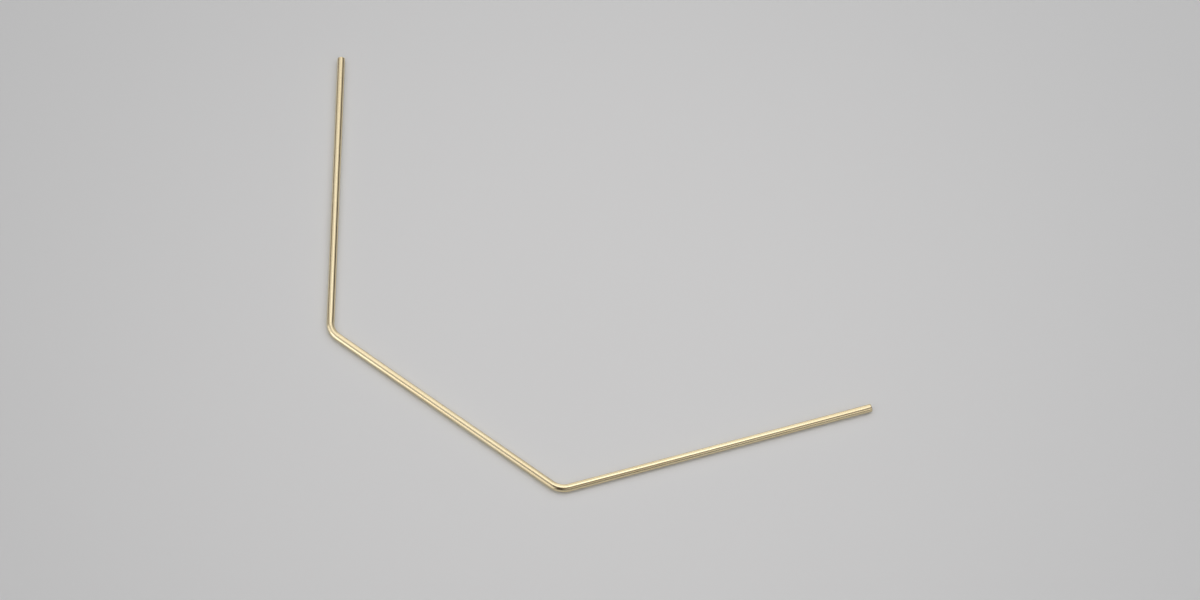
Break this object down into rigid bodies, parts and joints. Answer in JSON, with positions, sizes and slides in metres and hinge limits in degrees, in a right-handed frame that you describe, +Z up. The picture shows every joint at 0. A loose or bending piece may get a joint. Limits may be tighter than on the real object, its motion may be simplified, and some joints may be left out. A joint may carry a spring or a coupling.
{
  "type": "stabilizer bar",
  "caption": "Gold-toned round spring-wire anti-roll bar for a model car: a straight centre section with plain arms that splay outwards in the same plane.",
  "frame": {"origin": "middle of the centre section, on the wire's axis; the bar lies on z = -1 mm", "axes": "+X along the centre section, +Y towards the arms' ends in the plane of the bends, +Z up from the surface it lies on"},
  "size_m": [0.1696, 0.0654, 0.002],
  "materials": {
    "gold_plated_wire": "drawn spring steel under a thin, glossy, pale gold plating"
  },
  "bodies": {
    "root": {"stabilizer_bar": "gold_plated_wire"}
  },
  "joints": []
}
